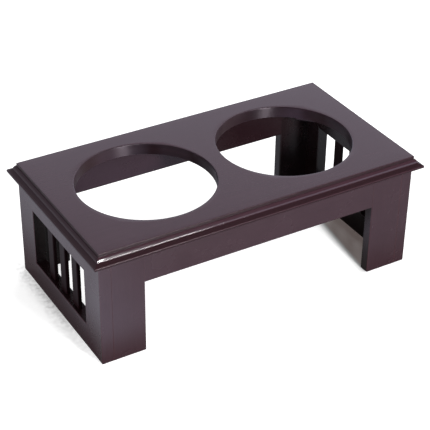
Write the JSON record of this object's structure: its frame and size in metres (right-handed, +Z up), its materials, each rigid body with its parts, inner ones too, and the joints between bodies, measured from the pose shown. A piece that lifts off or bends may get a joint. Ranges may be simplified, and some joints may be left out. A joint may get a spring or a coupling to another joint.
{
  "type": "elevated pet feeder",
  "caption": "Low lacquered wooden stand that holds feeding bowls in round holes in its moulded top, with arched aprons and slatted window ends.",
  "frame": {"origin": "on the floor under the middle of the stand", "axes": "+X along the stand's length, +Y from the front apron to the back apron, +Z up"},
  "size_m": [0.5932, 0.3202, 0.205],
  "materials": {
    "espresso_lacquer": "semi-gloss dark espresso lacquer, opaque enough to hide the grain",
    "bare_beech": "bare turned hardwood dowel",
    "zinc_steel": "bright zinc plate"
  },
  "bodies": {
    "root": {"top_panel": "espresso_lacquer", "apron_front": "espresso_lacquer", "apron_back": "espresso_lacquer", "leg_front_left": "espresso_lacquer", "leg_back_left": "espresso_lacquer", "leg_front_right": "espresso_lacquer", "leg_back_right": "espresso_lacquer", "stile_front_left": "espresso_lacquer", "stile_back_left": "espresso_lacquer", "stile_front_right": "espresso_lacquer", "stile_back_right": "espresso_lacquer", "corner_block_front_left": "espresso_lacquer", "corner_block_back_left": "espresso_lacquer", "corner_block_front_right": "espresso_lacquer", "corner_block_back_right": "espresso_lacquer", "rail_top_left": "espresso_lacquer", "rail_top_right": "espresso_lacquer", "rail_bottom_left": "espresso_lacquer", "rail_bottom_right": "espresso_lacquer", "slat_left_1": "espresso_lacquer", "slat_left_2": "espresso_lacquer", "slat_left_3": "espresso_lacquer", "slat_right_1": "espresso_lacquer", "slat_right_2": "espresso_lacquer", "slat_right_3": "espresso_lacquer", "leg_dowels": "bare_beech", "top_screws": "zinc_steel"}
  },
  "joints": []
}
